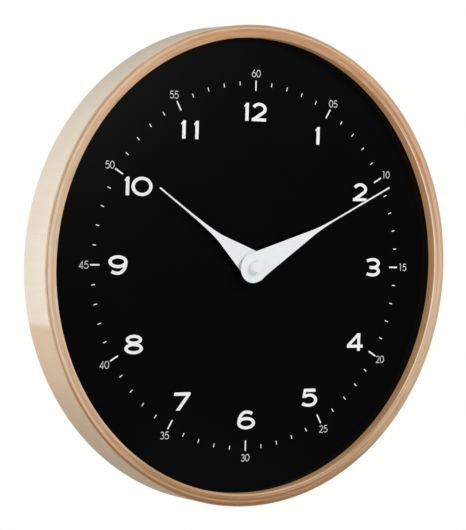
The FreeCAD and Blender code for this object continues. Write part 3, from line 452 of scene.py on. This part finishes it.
BOLD = {
    "0": {"rings": [(0, 0.1, 7.30, 5.70)]},
    "1": {"plates": [[(-1.3, -6.4), (1.5, -6.4), (1.5, 6.7), (-0.4, 6.7), (-2.5, 4.4), (-2.2, 3.5),
                      (-1.3, 3.9)]]},
    "2": {"runs": [[("arc", 0.2, 2.5, 5.1, 3.5, 160, -38), ("to", -4.2, -4.9)]],
          "plates": [[(-6.3, -6.4), (6.2, -6.4), (6.6, -4.1), (-6.3, -4.1)]]},
    "3": {"runs": [[("arc", -0.3, 3.4, 7.5, 2.8, 142, 90), ("arc", -0.3, 3.2, 4.9, 3.0, 90, -90),
                    ("to", -3.6, 0.2)],
                   [("to", -3.6, 0.2), ("arc", -0.3, -2.6, 5.2, 2.8, 90, -90),
                    ("arc", -0.3, -2.7, 7.5, 2.7, -90, -140)]]},
    "4": {"plates": [[(2.4, -6.3), (5.1, -6.3), (5.1, 7.0), (2.4, 7.0)],
                     [(-7.2, -3.9), (7.6, -3.9), (7.6, -1.6), (-7.2, -1.6)],
                     [(-7.2, -1.7), (-3.9, -1.7), (2.5, 3.9), (2.5, 7.0)]]},
    "5": {"runs": [[("arc", 0.3, -2.0, 5.9, 3.8, 140, -90), ("arc", 0.3, -2.0, 8.0, 3.8, -90, -140)]],
          "plates": [[(-4.7, 6.6), (-5.9, 0.0), (-5.2, -0.5), (-3.4, 0.9), (-2.8, 4.2), (6.0, 4.2),
                      (5.6, 6.6)]]},
    "6": {"runs": [[("arc", 0.15, -1.6, 9.0, 7.4, 56, 90), ("arc", 0.15, -1.6, 6.45, 7.4, 90, 182)]],
          "rings": [(0.15, -2.35, 6.45, 3.4)]},
    "7": {"plates": [[(-6.5, 6.6), (7.1, 6.6), (7.1, 5.0), (-1.8, -6.4), (-5.2, -6.4), (3.4, 4.2),
                      (-7.1, 4.2)]]},
    "8": {"rings": [(-0.25, 3.35, 5.35, 2.40), (-0.25, -2.95, 6.30, 2.85)]},
}
BOLD["9"] = "6"

LIGHT = {
    "0": {"rings": [(0, 0, 1.60, 2.48)]},
    "1": {"runs": [[("to", -0.8, 2.35), ("to", 0.35, 2.48), ("to", 0.35, -2.75)]]},
    "2": {"runs": [[("arc", 0, 1.15, 1.35, 1.33, 165, -35), ("to", -1.35, -2.48), ("to", 1.6, -2.48)]]},
    "3": {"runs": [[("arc", 0, 1.30, 1.20, 1.18, 155, -90)],
                   [("arc", 0, -1.18, 1.50, 1.30, 90, -155)]]},
    "4": {"runs": [[("to", 1.7, -1.35), ("to", -1.6, -1.35), ("to", 0.7, 2.35), ("to", 0.7, -2.75)]]},
    "5": {"runs": [[("to", 1.35, 2.48), ("to", -0.75, 2.48), ("to", -1.1, 0.25),
                    ("arc", 0, -0.9, 1.60, 1.58, 128, -148)]]},
    "6": {"runs": [[("to", 0.35, 2.75), ("to", -1.3, -0.2)]], "rings": [(0, -0.95, 1.60, 1.55)]},
}


def traced(run, step=9.0):
    """The points along a run of the pen."""
    points = []
    for part in run:
        if part[0] == "to":
            points.append(Vector(part[1:]))
            continue
        _, x, z, across, up, start, end = part
        count = max(2, round(abs(end - start) / step))
        for index in range(count + 1):
            angle = math.radians(start + (end - start) * index / count)
            points.append(Vector((x + across * math.cos(angle), z + up * math.sin(angle))))
    kept = [points[0]]
    for point in points[1:]:
        if (point - kept[-1]).length > SAME_POINT:
            kept.append(point)
    return kept


def stroked(points, pen):
    """The outline of a pen drawn along points, square at its ends and mitred at its corners."""
    left, right = [], []
    for index, point in enumerate(points):
        before = (point - points[index - 1]).normalized() if index else None
        after = (points[index + 1] - point).normalized() if index < len(points) - 1 else None
        before = before or after
        after = after or before
        way = (before + after).normalized()
        across = Vector((-way.y, way.x))
        square_on = across.dot(Vector((-after.y, after.x)))
        stretch = min(1 / max(square_on, SHARPEST_CORNER), LONGEST_MITRE)
        offset = Vector((across.x * pen[0], across.y * pen[1])) * stretch
        left.append(point + offset)
        right.append(point - offset)
    return left + right[::-1]


def prism(outline, place, turned):
    """A thin plate of ink from an outline."""
    builder = bmesh.new()
    sign = -1 if turned else 1
    layers = []
    for y in (DIAL_Y, DIAL_Y - INK):
        layers.append([builder.verts.new((place[0] * MM + sign * x * MM, y,
                                          AXIS_Z + place[1] * MM + sign * z * MM))
                       for x, z in outline])
    count = len(outline)
    builder.faces.new(layers[0])
    builder.faces.new(layers[1])
    for index in range(count):
        following = (index + 1) % count
        builder.faces.new((layers[0][index], layers[0][following], layers[1][following], layers[1][index]))
    bmesh.ops.recalc_face_normals(builder, faces=builder.faces)
    return builder


def ring_prism(x, z, across, up, pen, place, turned, steps=64):
    """A thin closed ring of ink with an elliptical middle line."""
    builder = bmesh.new()
    sign = -1 if turned else 1
    loops = []
    for y in (DIAL_Y, DIAL_Y - INK):
        for side in (1, -1):
            loop = []
            for index in range(steps):
                angle = 2 * math.pi * index / steps
                east = x + (across + side * pen[0]) * math.cos(angle)
                north = z + (up + side * pen[1]) * math.sin(angle)
                loop.append(builder.verts.new((place[0] * MM + sign * east * MM, y,
                                               AXIS_Z + place[1] * MM + sign * north * MM)))
            loops.append(loop)
    back_outer, back_inner, front_outer, front_inner = loops
    for first, second in ((back_outer, back_inner), (front_outer, front_inner), (back_outer, front_outer),
                          (back_inner, front_inner)):
        for index in range(steps):
            following = (index + 1) % steps
            builder.faces.new((first[index], first[following], second[following], second[index]))
    bmesh.ops.recalc_face_normals(builder, faces=builder.faces)
    return builder


def solids_of_digit(digit, font, pen, place):
    """The overlapping plates that make up one figure."""
    shape = font[digit]
    turned = isinstance(shape, str)
    if turned:
        shape = font[shape]
    solids = [prism([tuple(point) for point in stroked(traced(run), pen)], place, turned)
              for run in shape.get("runs", [])]
    solids += [prism(plate, place, turned) for plate in shape.get("plates", [])]
    solids += [ring_prism(*ring, pen, place, turned) for ring in shape.get("rings", [])]
    return solids


def printed(name, solids, material):
    """One printed mark: its plates merged into one clean solid."""
    objects = []
    for index, builder in enumerate(solids):
        mesh = bpy.data.meshes.new(f"{name}_{index}")
        builder.to_mesh(mesh)
        builder.free()
        part = bpy.data.objects.new(f"{name}_{index}", mesh)
        bpy.context.scene.collection.objects.link(part)
        objects.append(part)
    base = objects[0]
    for other in objects[1:]:
        union = base.modifiers.new("union", "BOOLEAN")
        union.operation = "UNION"
        union.solver = "EXACT"
        union.object = other
    bpy.context.view_layer.update()
    evaluated = base.evaluated_get(bpy.context.evaluated_depsgraph_get())
    mesh = bpy.data.meshes.new_from_object(evaluated)
    for part in objects:
        bpy.data.objects.remove(part)
    mesh.name = name
    mesh.materials.clear()
    mesh.materials.append(material)
    mark = bpy.data.objects.new(name, mesh)
    bpy.context.scene.collection.objects.link(mark)
    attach(mark, FIXED)
    return mark


HOUR_NUMERALS = [
    # figures, middle of the numeral, and where each digit's middle lies from it
    ("1", (57.0, 97.0), (0.0,)), ("2", (97.5, 56.0), (0.0,)), ("3", (112.5, -0.5), (0.0,)),
    ("4", (97.0, -57.0), (0.0,)), ("5", (56.0, -97.5), (0.0,)), ("6", (0.0, -112.5), (0.0,)),
    ("7", (-56.0, -97.5), (0.0,)), ("8", (-97.5, -56.0), (0.0,)), ("9", (-112.5, 0.0), (0.0,)),
    ("10", (-98.0, 55.5), (-8.6, 3.4)), ("11", (-55.5, 97.0), (-5.5, 5.5)),
    ("12", (0.0, 112.0), (-7.2, 3.4)),
]
LABEL_RADIUS = 140.2
LABEL_SPACING = 3.95
TICK_RADII = (127.6, 135.1)
MINOR_RADII = (131.6, 134.4)
TICK_HALF, MINOR_HALF = 0.55, 0.33


def make_numerals(materials):
    """The hours, 1 to 12."""
    for text, place, offsets in HOUR_NUMERALS:
        solids = []
        for digit, offset in zip(text, offsets):
            solids += solids_of_digit(digit, BOLD, BOLD_PEN, (place[0] + offset, place[1]))
        printed(f"hour_numeral_{text}", solids, materials["ink"])


def make_minute_labels(materials):
    """The small labels, 05 to 60, outside the ticks."""
    for step in range(12):
        text = f"{step * 5 or 60:02d}"
        angle = math.radians(30 * step)
        middle = (LABEL_RADIUS * math.sin(angle), LABEL_RADIUS * math.cos(angle))
        solids = []
        for index, digit in enumerate(text):
            shift = (index - 0.5) * LABEL_SPACING
            solids += solids_of_digit(digit, LIGHT, LIGHT_PEN, (middle[0] + shift, middle[1]))
        printed(f"minute_label_{text}", solids, materials["thin_ink"])


def make_ticks(materials):
    """A long tick at every fifth minute, and a short one at the others."""
    for name, radii, half, wanted in (("five_minute_ticks", TICK_RADII, TICK_HALF, True),
                                      ("minute_ticks", MINOR_RADII, MINOR_HALF, False)):
        builder = bmesh.new()
        for minute in range(60):
            if (minute % 5 == 0) is not wanted:
                continue
            turn = Matrix.Rotation(math.radians(6 * minute), 4, "Y")
            corners = [(-half, radii[0]), (half, radii[0]), (half, radii[1]), (-half, radii[1])]
            layers = []
            for depth in (0.0, -INK):
                layers.append([builder.verts.new(turn @ Vector((x * MM, depth, z * MM)) + DIAL_CENTRE)
                               for x, z in corners])
            builder.faces.new(layers[0])
            builder.faces.new(layers[1])
            for index in range(4):
                following = (index + 1) % 4
                builder.faces.new((layers[0][index], layers[0][following], layers[1][following],
                                   layers[1][index]))
        piece_from(name, builder, materials["ink"])


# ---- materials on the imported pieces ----


def dress_nodes(materials):
    """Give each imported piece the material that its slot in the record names."""
    for row in frame["record"]["subparts"]:
        node = NODES[row["node"]]
        node.data.materials.clear()
        node.data.materials.append(materials[row["material_slot"]])


# ---- stage, light and camera ----

SURROUND_BASE, SURROUND_LEFT, SURROUND_POWER = 0.06, 0.95, 2.2
FLOOR_DROP, FLOOR_RADIUS = 0.35, 2.0
# name, place, diameter and power
LIGHTS = [
    ("side_left", (-1.9, -0.25, 0.15), 1.0, 11.0),
    ("key_right", (1.2, -1.4, 1.1), 1.0, 28.0),
    ("sheen", (0.70, -2.05, 0.44), 0.9, 2.2),
]
CAMERA_ANGLES = (-33.8525, 1.7712, 1.6791)
CAMERA_UNIT, CAMERA_DISTANCE = 0.1326, 12.2713
CAMERA_RIGHT, CAMERA_UP = 0.09682, -0.006215
SENSOR_MM, LENS_MM, CLIP_END = 36.0, 151.57, 50.0


def area_light(name, place, size, power):
    """A soft round light that faces the dial."""
    data = bpy.data.lights.new(name, "AREA")
    data.shape = "DISK"
    data.size = size
    data.energy = power
    lamp = bpy.data.objects.new(name, data)
    bpy.context.scene.collection.objects.link(lamp)
    lamp.location = place
    lamp.rotation_mode = "QUATERNION"
    lamp.visible_camera = False
    lamp.rotation_quaternion = (DIAL_CENTRE - Vector(place)).to_track_quat("-Z", "Y")


def make_surround():
    """Soft light from all round, brighter from the left, behind a plain white background."""
    world = bpy.data.worlds.new("surround")
    bpy.context.scene.world = world
    world.use_nodes = True
    nodes = Nodes(world.node_tree)
    across = nodes.split(nodes.add("ShaderNodeTexCoord").outputs["Generated"])[0]
    leftward = nodes.maths("SUBTRACT", 0.5, nodes.maths("MULTIPLY", across, 0.5))
    glow = nodes.maths("MULTIPLY", nodes.maths("POWER", leftward, SURROUND_POWER), SURROUND_LEFT)
    light = nodes.maths("ADD", SURROUND_BASE, glow)
    seen = nodes.add("ShaderNodeLightPath").outputs["Is Camera Ray"]
    backdrop = nodes.nodes["Background"]
    nodes.put(backdrop.inputs["Color"], nodes.mix(seen, light, (1.0, 1.0, 0.985, 1)))


def make_stage():
    """A plain pale floor below the clock, and three soft lights."""
    builder = bmesh.new()
    level = RIM_LOW.z - FLOOR_DROP
    rim = [builder.verts.new((FLOOR_RADIUS * math.cos(turn), FLOOR_RADIUS * math.sin(turn), level))
           for turn in (math.tau * index / 96 for index in range(96))]
    builder.faces.new(rim)
    floor_data = bpy.data.meshes.new("floor")
    builder.to_mesh(floor_data)
    builder.free()
    floor = bpy.data.objects.new("floor", floor_data)
    bpy.context.scene.collection.objects.link(floor)
    floor_data.materials.append(mottled("pale_floor", srgb(244, 244, 243), srgb(248, 248, 247), 3, 0.9,
                                        specular=0.1))

    for light in LIGHTS:
        area_light(*light)
    bpy.context.scene.view_settings.view_transform = "Standard"


def make_camera():
    """The camera, placed round the dial's centre: angles in degrees, distance and offsets in units."""
    azimuth, elevation, roll = (math.radians(angle) for angle in CAMERA_ANGLES)
    back = Vector((math.sin(azimuth) * math.cos(elevation), -math.cos(azimuth) * math.cos(elevation),
                   math.sin(elevation)))
    level_right = Vector((0, 0, 1)).cross(back).normalized()
    level_up = back.cross(level_right)
    right = level_right * math.cos(roll) + level_up * math.sin(roll)
    up = level_up * math.cos(roll) - level_right * math.sin(roll)
    place = DIAL_CENTRE + CAMERA_UNIT * (CAMERA_DISTANCE * back - CAMERA_RIGHT * right - CAMERA_UP * up)

    data = bpy.data.cameras.new("camera")
    data.sensor_width = SENSOR_MM
    data.lens = LENS_MM
    data.clip_end = CLIP_END
    camera = bpy.data.objects.new("camera", data)
    bpy.context.scene.collection.objects.link(camera)
    turn = Matrix((right, up, back)).transposed()
    camera.matrix_world = Matrix.Translation(place) @ turn.to_4x4()
    bpy.context.scene.camera = camera


materials = make_materials()
dress_nodes(materials)
make_hoop(materials)
make_numerals(materials)
make_minute_labels(materials)
make_ticks(materials)
make_surround()
make_stage()
make_camera()
